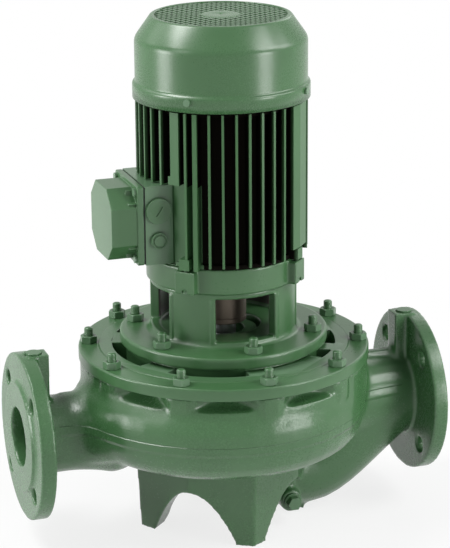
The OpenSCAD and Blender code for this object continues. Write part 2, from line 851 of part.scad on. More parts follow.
// Plan of the fins, with a gap at each corner
module fin_plan() {
    for (i = [0 : fin_places - 1])
        if (!is_corner(i))
            rotate(turn(fin_angle(i)))
                translate([fin_root, -fin_t / 2])
                    square([fin_r - fin_root, fin_t]);
}

// Broad flat rail, drawn at the right front corner
module broad_rail() {
    polygon([for (p = [[36, fin_root - 2], [36, fin_r], [44.5, fin_r + 0.4], [57, fin_r], [57, fin_root - 2]])
        [p[1] * cos(turn(p[0])), p[1] * sin(turn(p[0]))]]);
}

// Thick and thin fin, drawn at the left front corner
module paired_fins() {
    rotate(turn(-36.7))
        translate([fin_root, -2.4])
            square([fin_r - fin_root, 4.8]);
    rotate(turn(-43.3))
        translate([fin_root, -fin_t / 2])
            square([fin_r - fin_root, fin_t]);
}

// Narrow rail beside them, in two widths
module narrow_rail(a0) {
    polygon([for (p = [[a0, fin_root - 2], [a0, fin_r], [-48, fin_r], [-48, fin_root - 2]])
        [p[1] * cos(turn(p[0])), p[1] * sin(turn(p[0]))]]);
}

module motor_frame() {
    over_box = box_z + box_h / 2 + 3;
    color(green)
        difference() {
            union() {
                ring(shell_r, shell_r - shell_wall, shield_top, frame_top);
                ring(shell_r + 6, shell_r - 1, frame_top - 5, frame_top);
                difference() {
                    union() {
                        ring(shell_r + 3.5, shell_r - 1, shield_top, shield_top + 5);
                        translate([0, 0, fin_low])
                            linear_extrude(height = fin_high - fin_low)
                                fin_plan();
                    }
                    translate([-fin_r - 10, -box_w / 2 - cap_room, box_z - box_h / 2 - 1])
                        cube([fin_r - 45, box_w + cap_room + 1, box_h + 2]);
                }
                // Flat rails and paired fins stand at opposite corners
                for (half_turn = [0, 180])
                    rotate([0, 0, half_turn]) {
                        translate([0, 0, corner_low])
                            linear_extrude(height = fin_high - corner_low)
                                broad_rail();
                        translate([0, 0, shield_top])
                            linear_extrude(height = fin_high - shield_top)
                                paired_fins();
                        translate([0, 0, over_box])
                            linear_extrude(height = fin_high - over_box)
                                narrow_rail(-54.4);
                        translate([0, 0, over_box])
                            linear_extrude(height = 9)
                                narrow_rail(-56.4);
                    }
                // Tapped boss over each lug, under the fins
                round_row(4, lug_hole_r, 45)
                    translate([-12, -6, shield_top])
                        cube([17, 12, 12]);
                // Saddle that carries the terminal box
                difference() {
                    translate([-saddle_x, -box_w / 2 + 3, box_z - box_h / 2 + 3])
                        cube([20, box_w - 6, box_h - 6]);
                    translate([0, 0, shield_top])
                        cylinder(r = shell_r - 2, h = frame_len);
                }
            }
            translate([0, 0, shield_top - 1])
                round_row(4, lug_hole_r, 45)
                    cylinder(d = 5 + 2 * fit, h = 9);
            // Window for the leads
            translate([-shell_r - 10, -12, box_z - 15])
                cube([30, 24, 30]);
        }
}

module stator_core() {
    color(steel)
        ring(shell_r - shell_wall, rotor_r + air_gap, core_z, core_z + core_len);
}

module stator_windings() {
    color(copper)
        for (z = [core_z - 22, core_z + core_len])
            rotate_extrude()
                translate([rotor_r + 8, z])
                    square([shell_r - shell_wall - 3 - rotor_r - 8, 22]);
}

module rotor_core() {
    color([0.45, 0.46, 0.48])
        ring(rotor_r, shaft_core_r, core_z, core_z + core_len);
}

// Both bearings as [height, width, outside radius, seat radius]
bearings = [[de_bearing_z, de_bearing_w, de_bearing_r, de_seat_r],
    [nde_bearing_z, nde_bearing_w, nde_bearing_r, nde_seat_r]];
function track(b) = (b[2] + b[3]) / 2;
function ball_r(b) = (b[2] - b[3]) * 0.29;

module bearing_outer_rings() {
    color(steel)
        for (b = bearings)
            difference() {
                ring(b[2], track(b) + ball_r(b) * 0.6, b[0], b[0] + b[1]);
                translate([0, 0, b[0] + b[1] / 2])
                    rotate_extrude()
                        translate([track(b), 0])
                            circle(r = ball_r(b) + fit);
            }
}

module bearing_inner_rings() {
    color(steel)
        for (b = bearings)
            difference() {
                ring(track(b) - ball_r(b) * 0.6, b[3], b[0], b[0] + b[1]);
                translate([0, 0, b[0] + b[1] / 2])
                    rotate_extrude()
                        translate([track(b), 0])
                            circle(r = ball_r(b) + fit);
            }
}

module bearing_balls() {
    color(steel)
        for (b = bearings)
            translate([0, 0, b[0] + b[1] / 2])
                round_row(8, track(b))
                    sphere(r = ball_r(b), $fn = 32);
}

module bearing_spring() {
    color(steel)
        ring(nde_bearing_r - 0.5, nde_bearing_r - 6, nde_bearing_z + nde_bearing_w, nde_bearing_z + nde_bearing_w + 1.2);
}

module fan_end_shield() {
    seat_top = nde_bearing_z + nde_bearing_w + 1.2;
    lug_reach = skirt_r - sheet_t - 0.2;
    color(green)
        difference() {
            union() {
                rotate_extrude()
                    polygon([[nde_bearing_r + fit / 2, nde_bearing_z], [nde_bearing_r + 7, nde_bearing_z],
                        [nde_bearing_r + 9, frame_top + 5], [shell_r - 10, frame_top + 5],
                        [shell_r - 10, frame_top - 6], [shell_r - shell_wall - fit, frame_top - 6],
                        [shell_r - shell_wall - fit, frame_top], [shell_r + 8, frame_top],
                        [shell_r + 8, frame_top + end_shield_h], [nde_bearing_r + 9, frame_top + end_shield_h],
                        [nde_bearing_r - 2, seat_top + 4], [13, seat_top + 4], [13, seat_top],
                        [nde_bearing_r + fit / 2, seat_top]]);
                round_row(4, lug_reach, 45 + screw_turn)
                    translate([-14, -8, frame_top + 2])
                        intersection() {
                            cube([15, 16, skirt_h - 4.5]);
                            translate([14 - lug_reach, 8, -1])
                                cylinder(r = lug_reach, h = 20);
                        }
            }
            round_row(4, lug_reach, 45 + screw_turn)
                translate([2, 0, frame_top + 12])
                    rotate([0, -90, 0])
                        cylinder(d = 4 + 2 * fit, h = 14);
        }
}

module cooling_fan() {
    color(rubber)
        difference() {
            union() {
                translate([0, 0, fan_z])
                    cylinder(r = 20, h = fan_h - 4);
                translate([0, 0, fan_z + 2])
                    cylinder(r = fan_r - 6, h = 2.5);
                for (i = [0 : fan_blades - 1])
                    rotate([0, 0, i * 360 / fan_blades])
                        translate([15, -1.25, fan_z + 3])
                            cube([fan_r - 15, 2.5, fan_h - 3]);
            }
            translate([0, 0, fan_z - 1])
                cylinder(r = 11 + run_fit, h = fan_h + 2);
        }
}

// Lattice of square openings between two sets of slanting bars
module lattice(r_out, r_in, pitch, hole) {
    n = ceil(r_out / pitch);
    rotate(45)
        for (i = [-n : n])
            for (j = [-n : n])
                let (d = norm([i * pitch, j * pitch]) + hole * 0.7)
                    if (d < r_out && d > r_in + 1.4 * hole)
                        translate([i * pitch - hole / 2, j * pitch - hole / 2])
                            square(hole);
}

module fan_cover() {
    t = sheet_t;
    color(green) {
        difference() {
            rotate_extrude()
                polygon([[skirt_r - t, fan_cover_z], [skirt_r, fan_cover_z], [skirt_r, fan_cover_z + skirt_h - 2],
                    [fan_cover_r, fan_cover_z + skirt_h], [fan_cover_r, fan_cover_top - cone_h],
                    [fan_cover_top_r, fan_cover_top], [fan_cover_top_r - 4, fan_cover_top],
                    [fan_cover_top_r - 4, fan_cover_top - t], [fan_cover_top_r - t, fan_cover_top - t],
                    [fan_cover_r - t, fan_cover_top - cone_h - 1], [fan_cover_r - t, fan_cover_z + skirt_h - 1],
                    [skirt_r - t, fan_cover_z + skirt_h - 3]]);
            round_row(4, skirt_r, 45 + screw_turn)
                translate([-8, 0, frame_top + 12])
                    rotate([0, 90, 0])
                        cylinder(d = 4 + 2 * fit, h = 12);
        }
        translate([0, 0, fan_cover_top - t])
            linear_extrude(height = t)
                difference() {
                    circle(r = fan_cover_top_r - 2);
                    lattice(fan_cover_top_r - 5, 16, 9.5, 5.6);
                }
    }
}

module fan_cover_screws() {
    color(steel)
        round_row(4, skirt_r, 45 + screw_turn)
            translate([-10, 0, frame_top + 12])
                rotate([0, 90, 0]) {
                    cylinder(d = 4, h = 10);
                    translate([0, 0, 10])
                        cylinder(d = 7.5, h = 2.4);
                }
}

module terminal_box_base() {
    wall = 4;
    depth = box_joint - saddle_x;
    color(green)
        difference() {
            translate([-box_joint, -box_w / 2, box_z - box_h / 2])
                cube([depth, box_w, box_h]);
            translate([-box_joint - 1, -box_w / 2 + wall, box_z - box_h / 2 + wall])
                cube([depth - wall + 1, box_w - 2 * wall, box_h - 2 * wall]);
            translate([-saddle_x - wall - 1, -11, box_z - 14])
                cube([wall + 2, 22, 28]);
            // Entries on the front wall
            translate([-cap_x, -box_w / 2 - 1, box_z + 16])
                rotate([-90, 0, 0])
                    cylinder(r = 12 + fit, h = wall + 2);
            translate([-cap_x, -box_w / 2 - 1, box_z - 17])
                rotate([-90, 0, 0])
                    cylinder(r = 7 + fit, h = wall + 2);
            // Shell of the motor behind the box
            translate([0, 0, box_z - box_h])
                cylinder(r = shell_r + soft_gap, h = 2 * box_h);
        }
}

module box_gasket() {
    color(rubber)
        translate([-box_joint - 1.5, -box_w / 2 + 1, box_z - box_h / 2 + 1])
            difference() {
                cube([1.5, box_w - 2, box_h - 2]);
                translate([-1, 5, 5])
                    cube([4, box_w - 12, box_h - 12]);
            }
}

// Lid plan: a rectangle with cut corners
function cut_box(w, h, c) = [[-w / 2 + c, -h / 2], [w / 2 - c, -h / 2], [w / 2, -h / 2 + c], [w / 2, h / 2 - c],
    [w / 2 - c, h / 2], [-w / 2 + c, h / 2], [-w / 2, h / 2 - c], [-w / 2, -h / 2 + c]];

lid_plate_t = 7;
lid_screw_in = 6.5;

module lid_prism(w, h, c, x0, x1) {
    translate([-x0, 0, box_z])
        rotate([90, 0, -90])
            linear_extrude(height = x1 - x0)
                polygon(cut_box(w, h, c));
}

module terminal_box_lid() {
    joint = box_joint + 1.5;
    color(green)
        difference() {
            union() {
                lid_prism(box_w, box_h, 2, joint, joint + lid_plate_t);
                lid_prism(box_w - 3, box_h - 8, 19, joint + 1, joint + lid_depth);
                // Small ribs on both sides of each screw
                for (y = [-1, 1])
                    for (z = [-1, 1]) {
                        translate([-joint - lid_plate_t - 9, y * (box_w / 2 - 14.5) - 1, box_z + z * (box_h / 2 - 9) - 3])
                            cube([11, 2, 6]);
                        translate([-joint - lid_plate_t - 9, y * (box_w / 2 - 6) - 3, box_z + z * (box_h / 2 - 19) - 1])
                            cube([11, 6, 2]);
                    }
            }
            lid_prism(box_w - 12, box_h - 17, 18, joint - 1, joint + lid_depth - 4);
            for (y = [-1, 1])
                for (z = [-1, 1])
                    translate([-joint - lid_plate_t - 1, y * (box_w / 2 - lid_screw_in), box_z + z * (box_h / 2 - lid_screw_in)])
                        rotate([0, 90, 0])
                            cylinder(d = 5, h = lid_plate_t + 2);
        }
}

module lid_screws() {
    joint = box_joint + 1.5;
    color(steel)
        for (y = [-1, 1])
            for (z = [-1, 1])
                translate([-joint, y * (box_w / 2 - lid_screw_in), box_z + z * (box_h / 2 - lid_screw_in)])
                    rotate([0, -90, 0]) {
                        cylinder(d = 4.6, h = lid_plate_t);
                        translate([0, 0, lid_plate_t])
                            cylinder(d = 8.5, h = 3);
                    }
}

module terminal_board() {
    floor_x = shell_r + soft_gap;
    color([0.25, 0.17, 0.12])
        difference() {
            translate([-floor_x - 12, -24, box_z - 34])
                cube([12, 48, 18]);
            translate([-floor_x - 13, -20, box_z - 30])
                cube([6, 40, 10]);
        }
}

// Screwed blanking cap, drawn with its head towards +Z
module entry_cap(r, head_r) {
    translate([0, 0, -5])
        cylinder(r = r, h = 6);
    cylinder(r = head_r, h = 3.5);
}

module large_entry_cap() {
    color(dark_green)
        translate([-cap_x, -box_w / 2, box_z + 16])
            rotate([90, 0, 0])
                difference() {
                    entry_cap(12, 14.2);
                    rotate([0, 0, 56])
                        translate([-6, -1.1, 2])
                            cube([12, 2.2, 3]);
                }
}

module small_entry_cap() {
    color(dark_green)
        translate([-cap_x, -box_w / 2, box_z - 17])
            rotate([90, 0, 0])
                difference() {
                    entry_cap(7, 9.2);
                    translate([0, 0, 2.3])
                        difference() {
                            cylinder(r = 7.6, h = 3);
                            translate([0, 0, -1])
                                cylinder(r = 6, h = 5);
                        }
                }
}

volute_casing();
gauge_plugs();
drain_plug();
casing_wear_ring();
casing_o_ring();
casing_cover();
cover_studs();
cover_nuts();
motor_bracket();
bracket_studs();
bracket_nuts();
seal_seat();
seal_ring();
seal_spring();
impeller();
impeller_key();
impeller_washer();
impeller_nut();
pump_shaft();
slinger_ring();
drive_end_shield();
bracket_screws();
shield_screws();
motor_frame();
stator_core();
stator_windings();
rotor_core();
bearing_outer_rings();
bearing_balls();
bearing_inner_rings();
bearing_spring();
fan_end_shield();
cooling_fan();
fan_cover();
fan_cover_screws();
terminal_box_base();
box_gasket();
terminal_box_lid();
lid_screws();
terminal_board();
large_entry_cap();
small_entry_cap();
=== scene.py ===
# %% [markdown]
# # In-line circulation pump
# The packed CAD model gives the exact frame: an iron casing on four feet, a bracket with windows, and an
# upright motor. Here its castings get soft, moulded edges, its small repeated parts are grown with Geometry
# Nodes, and every surface gets a procedural paint or metal. Nothing moves away from where the CAD model has
# it.

# %% Load the frame
import json
import math

import bmesh
import bpy
import numpy as np
from mathutils import Matrix, Vector

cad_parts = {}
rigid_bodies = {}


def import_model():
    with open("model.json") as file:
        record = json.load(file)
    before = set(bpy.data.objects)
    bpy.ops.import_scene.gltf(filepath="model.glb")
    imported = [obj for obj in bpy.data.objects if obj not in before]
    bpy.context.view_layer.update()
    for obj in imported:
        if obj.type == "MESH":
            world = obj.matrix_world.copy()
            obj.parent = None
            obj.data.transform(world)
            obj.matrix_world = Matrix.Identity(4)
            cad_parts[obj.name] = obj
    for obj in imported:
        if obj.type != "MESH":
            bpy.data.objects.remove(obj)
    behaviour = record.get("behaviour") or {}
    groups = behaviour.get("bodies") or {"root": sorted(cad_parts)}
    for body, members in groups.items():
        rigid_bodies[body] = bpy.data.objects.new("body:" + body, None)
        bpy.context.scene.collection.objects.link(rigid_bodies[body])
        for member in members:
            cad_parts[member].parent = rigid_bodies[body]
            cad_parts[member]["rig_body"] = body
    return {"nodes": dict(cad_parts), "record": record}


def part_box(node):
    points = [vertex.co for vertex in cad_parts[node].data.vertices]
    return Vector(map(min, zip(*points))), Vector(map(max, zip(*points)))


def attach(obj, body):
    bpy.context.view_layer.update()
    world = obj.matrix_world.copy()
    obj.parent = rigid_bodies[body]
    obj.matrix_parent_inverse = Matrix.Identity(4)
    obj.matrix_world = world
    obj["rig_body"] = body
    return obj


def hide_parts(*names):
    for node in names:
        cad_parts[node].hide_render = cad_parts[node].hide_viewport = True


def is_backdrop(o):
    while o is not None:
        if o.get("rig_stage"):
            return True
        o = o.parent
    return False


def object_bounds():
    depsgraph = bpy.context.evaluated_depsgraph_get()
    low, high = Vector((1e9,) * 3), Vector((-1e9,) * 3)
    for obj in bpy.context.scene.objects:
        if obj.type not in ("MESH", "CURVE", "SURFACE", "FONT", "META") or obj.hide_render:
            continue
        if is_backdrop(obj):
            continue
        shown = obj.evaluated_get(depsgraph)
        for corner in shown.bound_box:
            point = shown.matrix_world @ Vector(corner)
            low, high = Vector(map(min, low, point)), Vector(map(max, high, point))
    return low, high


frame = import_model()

cad_box = [list(corner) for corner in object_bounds()]
scene = bpy.context.scene
nodes = frame["nodes"]
slot_of = {part["node"]: part["material_slot"] for part in frame["record"]["subparts"]}
print("nodes:", len(nodes), "CAD box:", cad_box)

# %% [markdown]
# A camera is a lens and a place. The photograph's perspective was solved from the two round flanges, which
# gives where the camera stood. Its long lens keeps the flanges nearly round, as in the picture, and a small
# shift centres it. A camera could also be turned by three angles, but one matrix holds its place and its
# three directions at once.

# %% Camera
LENS, SENSOR, SHIFT = 147.06, 36, (-0.0065, 0.0128)
CAMERA_PLACE = (-0.75388, -2.23826, 1.01759)
CAMERA_LOOK = (0.30695, 0.90353, -0.29901)
CAMERA_ROLL = math.radians(-0.42)


def photo_camera():
    data = bpy.data.cameras.new("camera")
    thing = bpy.data.objects.new("camera", data)
    scene.collection.objects.link(thing)
    data.lens, data.sensor_width, data.clip_end = LENS, SENSOR, 20
    data.shift_x, data.shift_y = SHIFT
    look = Vector(CAMERA_LOOK).normalized()
    right = look.cross(Vector((0, 0, 1))).normalized()
    up = right.cross(look)
    cos_roll, sin_roll = math.cos(CAMERA_ROLL), math.sin(CAMERA_ROLL)
    right, up = right * cos_roll + up * sin_roll, up * cos_roll - right * sin_roll
    rows = [(right[k], up[k], -look[k], CAMERA_PLACE[k]) for k in range(3)]
    thing.matrix_world = Matrix(rows + [(0, 0, 0, 1)])
    return thing


scene.camera = photo_camera()
print("camera at", [round(x, 3) for x in scene.camera.location])

# %% [markdown]
# Plain studio light, read from the photograph's highlights: the belly shines on its left and on its right
# but not in the middle. So one large soft box stands high on each side and one low beside it, weaker ones
# light the sides, and two faint ones behind lift the rims. A table of angles and watts is easier to balance
# than lamps placed one by one.

# %% Lamps
LAMPS = [  # name, azimuth from the front (left is minus), height angle, size, watts
    ("left_low", -97, 7, 0.8, 24), ("left_high", -108, 58, 0.9, 36), ("left_side", -75, 30, 0.8, 6),
    ("right_low", 40, 6, 0.7, 19), ("right_high", 52, 42, 0.9, 22), ("right_side", 76, 30, 0.8, 11),
    ("behind_left", -135, 38, 0.8, 3), ("behind_right", 135, 32, 0.8, 4)]
LAMP_DISTANCE = 2.3
LAMP_AIM = Vector((0, 0, 0.25))


def lamp(name, azimuth, rise, size, watts):
    data = bpy.data.lights.new(name, "AREA")
    data.shape, data.size, data.energy = "SQUARE", size, watts
    thing = bpy.data.objects.new(name, data)
    scene.collection.objects.link(thing)
    turn, lift = math.radians(azimuth), math.radians(rise)
    away = Vector((math.sin(turn) * math.cos(lift), -math.cos(turn) * math.cos(lift), math.sin(lift)))
    thing.location = LAMP_AIM + LAMP_DISTANCE * away
    thing.rotation_euler = (LAMP_AIM - thing.location).to_track_quat("-Z", "Y").to_euler()


for row in LAMPS:
    lamp(*row)
scene.view_settings.view_transform = "Standard"
print("lamps:", [row[0] for row in LAMPS])

# %% [markdown]
# Every material below is a graph of nodes. Shader maths reads best as plain expressions, so a small class
# wraps a socket and each operator on it adds the Math node that does the sum. One function makes any other
# node from its type, its settings and its inputs, and it serves the Geometry Nodes further down as well.

# %% Node expressions
def plug(tree, value, socket):
    if isinstance(value, Wire):
        tree.links.new(value.socket, socket)
    else:
        socket.default_value = value


def add_node(tree, kind, out=0, settings=None, sockets=None, **inputs):
    """A node: its settings first, then a value or a link for each socket, by its place or its name."""
    node = tree.nodes.new(kind)
    for key, value in (settings or {}).items():
        setattr(node, key, value)
    named = {key.replace("_", " "): value for key, value in inputs.items()}
    for key, value in {**(sockets or {}), **named}.items():
        plug(tree, value, node.inputs[key])
    return Wire(tree, node.outputs[out])


def reckon(tree, kind, *values):
    return add_node(tree, "ShaderNodeMath", settings={"operation": kind}, sockets=dict(enumerate(values)))


class Wire:
    """One output socket. Sums on it add Math nodes to its tree."""

    def __init__(self, tree, socket):
        self.tree, self.socket = tree, socket

    def math(self, kind, *others):
        return reckon(self.tree, kind, self, *others)

    def clip(self, low, high):
        """0 up to low, 1 from high on, and a straight line between them."""
        return add_node(self.tree, "ShaderNodeMapRange", "Result", Value=self, From_Min=low, From_Max=high)

    def __add__(self, other):
        return self.math("ADD", other)

    def __radd__(self, other):
        return self.math("ADD", other)

    def __sub__(self, other):
        return self.math("SUBTRACT", other)

    def __rsub__(self, other):
        return reckon(self.tree, "SUBTRACT", other, self)

    def __mul__(self, other):
        return self.math("MULTIPLY", other)

    def __rmul__(self, other):
        return self.math("MULTIPLY", other)


print("words of a wire:", [name for name in vars(Wire) if callable(getattr(Wire, name))])

# %% [markdown]
# A finish is one procedural material. All of them read Object coordinates, the pump's own metres, so a
# pattern stays on the metal when a piece turns, and no picture file is needed. This class keeps a
# material's tree, its shader and short words for the few nodes that come back in each recipe.

# %% Finishes
class Finish:
    def __init__(self, name):
        self.material = bpy.data.materials.new(name)
        self.material.use_nodes = True
        self.tree = self.material.node_tree
        self.shader = self.tree.nodes["Principled BSDF"]
        self.place = self.make("ShaderNodeTexCoord", "Object")

    def make(self, kind, out=0, settings=None, sockets=None, **inputs):
        return add_node(self.tree, kind, out, settings, sockets, **inputs)

    def noise(self, scale, detail=2.0, rough=0.5):
        return self.make("ShaderNodeTexNoise", "Fac", Vector=self.place, Scale=scale, Detail=detail,
                         Roughness=rough)

    def mix(self, factor, a, b):
        return self.make("ShaderNodeMix", 2, {"data_type": "RGBA"}, {0: factor, 6: a, 7: b})

    def axis(self, name):
        return self.make("ShaderNodeSeparateXYZ", name, Vector=self.place)

    def from_axis(self):
        """How far a point is from the pump's upright axis."""
        x, y = self.axis("X"), self.axis("Y")
        return (x * x + y * y).math("SQRT")

    def bump(self, height, strength, distance, **more):
        return self.make("ShaderNodeBump", "Normal", Height=height, Strength=strength, Distance=distance,
                         **more)

    def gloss(self, level):
        self.shader.inputs["Specular IOR Level"].default_value = level

    def set(self, **values):
        for key, value in values.items():
            plug(self.tree, value, self.shader.inputs[key.replace("_", " ")])
        return self.material


print("a finish can make:", [word for word in vars(Finish) if not word.startswith("_")])

# %% [markdown]
# The whole pump wears one satin green enamel. On sand-cast iron it shows a soft pebble of the mould under
# the paint and pools a little darker in places. On the smooth motor parts it is finer. Two noises do it: a
# broad one shifts the shade and the gloss, a fine one gives the pebble as bump. Edges turn lighter by the
# mesh's pointiness: partly paint worn thin there, partly a painted highlight along the edges. The same
# recipe makes every green piece with other numbers. On the casing it adds the low ridge where the two
# halves of the mould met, and inside the bracket it turns the wall above the floor nearly black.

# %% Enamel
GREEN = (0.052, 0.139, 0.052, 1)
SHADE = (0.034, 0.096, 0.035, 1)
PALE = (0.080, 0.182, 0.082, 1)
# A lighter green for edges: partly worn paint, partly a painted highlight.
WORN_EDGE_HIGHLIGHT = (0.20, 0.31, 0.21, 1)
# Near-black colour for the bracket's inner wall above its floor.
INNER_WALL_BLACK = (0.022, 0.017, 0.013, 1)
BRACKET_BORE, BRACKET_FLOOR = 0.0722, 0.2345
PARTING, RIDGE_END, RIDGE_HEIGHT = 0.1395, 0.2, 0.0014
BROAD, BROAD_DETAIL = 9.0, 3.0


def shaded_green(coat, broad):
    return coat.mix((broad - 0.42) * 1.4, GREEN, SHADE)


def mould_ridge(coat, normal):
    """A low step along the parting line, steep below and steeper above, which stops short of the flanges."""
    z = coat.axis("Z")
    band = z.clip(PARTING - 0.006, PARTING - 0.003) * (1 - z.clip(PARTING + 0.0045, PARTING + 0.0055))
    band = band * coat.axis("X").math("ABSOLUTE").math("LESS_THAN", RIDGE_END)
    return coat.bump(band, 0.9, RIDGE_HEIGHT, Normal=normal)


def enamel(name, grain, grain_height, roughness, edge_wear_and_highlight=0.0, ridge=False, black_inside=False):
    coat = Finish(name)
    broad, fine = coat.noise(BROAD, BROAD_DETAIL), coat.noise(grain, 4.0, 0.6)
    tint = coat.mix((fine - 0.55) * 0.7, shaded_green(coat, broad), PALE)
    # Lighter edges from the mesh's pointiness: partly paint worn thin, partly a painted highlight.
    if edge_wear_and_highlight:
        edge = coat.make("ShaderNodeNewGeometry", "Pointiness").clip(0.53, 0.60)
        tint = coat.mix(edge * edge_wear_and_highlight, tint, WORN_EDGE_HIGHLIGHT)
    # Inside the bracket, above its floor, the wall turns nearly black.
    if black_inside:
        above = coat.axis("Z").math("GREATER_THAN", BRACKET_FLOOR)
        inner_wall = coat.from_axis().math("LESS_THAN", BRACKET_BORE) * above
        tint = coat.mix(inner_wall, tint, INNER_WALL_BLACK)
    pebble = fine * 0.7 + coat.noise(grain * 3.1, 2.0) * 0.3
    normal = coat.bump(pebble, 0.5, grain_height)
    if ridge:
        normal = mould_ridge(coat, normal)
    coat.gloss(0.58)
    roughness = roughness + (broad - 0.5) * 0.12 + (fine - 0.5) * 0.08
    return coat.set(Base_Color=tint, Roughness=roughness, Normal=normal)


casing_paint = enamel("green_volute_enamel", 420.0, 0.00055, 0.27, 0.4, ridge=True)
cast_paint = enamel("green_cast_enamel", 330.0, 0.00024, 0.30, 0.4)
bracket_paint = enamel("green_bracket_enamel", 330.0, 0.00025, 0.31, 0.5, black_inside=True)
motor_paint = enamel("green_motor_enamel", 520.0, 0.00010, 0.30, 0.35)
sheet_paint = enamel("green_sheet_enamel", 700.0, 0.00004, 0.27)
bolt_paint = enamel("green_bolt_enamel", 600.0, 0.00012, 0.30, 0.4)
enamels = (casing_paint, cast_paint, bracket_paint, motor_paint, sheet_paint, bolt_paint)
print("enamels:", [made.name for made in enamels])

# %% [markdown]
# Between the cooling fins the paint is thin and the light hardly reaches, so the gaps look almost black.
# Their black is painted shade, partly thin paint: darkening them with a mask is surer than hoping that the
# lamps miss them, so the frame's colour fades to black towards the shell, worked out from the distance to
# the motor's axis. Only the saddle under the terminal box stays green all the way in.

# %% Fin paint and painted gap shade
FIN_TIP, FIN_ROOT = 0.0924, 0.0888
BOX_MIDDLE, BOX_HALF, BOX_SADDLE = 0.3615, 0.0455, -0.045
# Black painted shade for the gaps between the fins, partly thin paint.
GAP_SHADE_BLACK = (0.010, 0.0085, 0.007, 1)


def fin_paint_and_gap_shade():
    coat = Finish("green_fin_enamel")
    level_with_box = (coat.axis("Z") - BOX_MIDDLE).math("ABSOLUTE").math("LESS_THAN", BOX_HALF)
    saddle = coat.axis("X").math("LESS_THAN", BOX_SADDLE) * level_with_box
    # The mask is 1 where the green shows and 0 deep in the gaps, where the black painted shade goes.
    green_not_gap_shade = coat.from_axis().clip(FIN_ROOT, FIN_TIP).math("MAXIMUM", saddle)
    tint = coat.mix(green_not_gap_shade, GAP_SHADE_BLACK, shaded_green(coat, coat.noise(BROAD, BROAD_DETAIL)))
    coat.gloss(0.4)
    return coat.set(Base_Color=tint, Roughness=0.8 - green_not_gap_shade * 0.42, Metallic=1 - green_not_gap_shade,
                    Normal=coat.bump(coat.noise(520.0, 4.0, 0.6), 0.4, 0.0001))


frame_paint_and_gap_shade = fin_paint_and_gap_shade()
print("fin paint:", frame_paint_and_gap_shade.name)

# %% [markdown]
# The bare metals and other stuffs of the inside: turned steel with fine rings, bronze as cast, carbon,
# ceramic, rubber, varnished copper and stacked sheet iron. Few are seen, but each shows when the pump is
# opened or seen from another side. Two recipes are enough: a metal with turning marks from a wave texture,
# and a plain stuff with a fine grain.

# %% Bare metals and the rest
def turned(name, colour, roughness, rings=900.0):
    finish = Finish(name)
    lines = finish.make("ShaderNodeTexWave", "Fac", {"bands_direction": "Z"}, Vector=finish.place, Scale=rings,
                        Distortion=1.5)
    blot = finish.noise(60.0, 3.0)
    dull = tuple(c * 0.7 for c in colour[:3]) + (1,)
    finish.shader.inputs["Metallic"].default_value = 1.0
    return finish.set(Base_Color=finish.mix(blot, dull, colour), Roughness=roughness + blot * 0.12,
                      Normal=finish.bump(lines, 0.12, 0.0001))


def plain(name, colour, roughness):
    finish = Finish(name)
    fine = finish.noise(300.0, 3.0)
    dull = tuple(c * 0.75 for c in colour[:3]) + (1,)
    return finish.set(Base_Color=finish.mix(fine, dull, colour), Roughness=roughness + fine * 0.1,
                      Normal=finish.bump(fine, 0.3, 0.0001))


finishes = {
    "steel": turned("turned_steel", (0.50, 0.51, 0.52, 1), 0.28),
    "stainless": turned("stainless", (0.58, 0.58, 0.58, 1), 0.24),
    "bronze": turned("cast_bronze", (0.42, 0.27, 0.11, 1), 0.42, 200.0),
    "laminations": turned("stacked_iron", (0.22, 0.22, 0.23, 1), 0.45, 1400.0),
    "rubber": plain("black_rubber", (0.018, 0.018, 0.019, 1), 0.65),
    "ceramic": plain("white_ceramic", (0.72, 0.70, 0.65, 1), 0.15),
    "carbon": plain("black_carbon", (0.025, 0.025, 0.028, 1), 0.35),
    "copper": plain("varnished_copper", (0.33, 0.12, 0.045, 1), 0.35),
    "black_plastic": plain("moulded_black", (0.02, 0.02, 0.02, 1), 0.5),
    "board": plain("moulded_brown", (0.08, 0.045, 0.03, 1), 0.45),
    "green_casting": cast_paint,
    "green_motor": motor_paint,
    "green_sheet": sheet_paint,
    "green_fastener": bolt_paint,
}


def paint(thing, material):
    thing.data.materials.clear()
    thing.data.materials.append(material)


for name, thing in nodes.items():
    paint(thing, finishes[slot_of[name]])
# The motor frame gets the fin paint with its painted gap shade.
paint(nodes["motor_frame"], frame_paint_and_gap_shade)
print("finishes:", sorted(finishes))

# %% [markdown]
# The backdrop is white, and the floor is a pale sheet that catches the pump's shadow. More light would wash
# out the paint, so the white is made another way: only the rays that look straight at the background, from
# the camera or off gloss, see a plain white glow. The floor glows fully at a distance and only partly near
# the pump, where its own grey lets the soft shadow through. All other rays see a weak sky that fills the
# shadows.

# %% Floor and world
FLOOR_REACH = 9
GLOW_NEAR, GLOW_MORE = 0.80, 0.20
SKY_FILL = 0.13


def seen_directly(tree):
    """1 for the rays that look at the background: from the camera, off gloss or through glass."""
    outs = add_node(tree, "ShaderNodeLightPath").socket.node.outputs
    rays = [Wire(tree, outs[name]) for name in ("Is Camera Ray", "Is Glossy Ray", "Is Transmission Ray")]
    return (rays[0] + rays[1] + rays[2]).clip(0, 1)


def blend(tree, factor, first, second, ending):
    """Ends a tree in a mix of two shaders."""
    both = add_node(tree, "ShaderNodeMixShader", sockets={0: factor, 1: first, 2: second})
    plug(tree, both, tree.nodes[ending].inputs["Surface"])


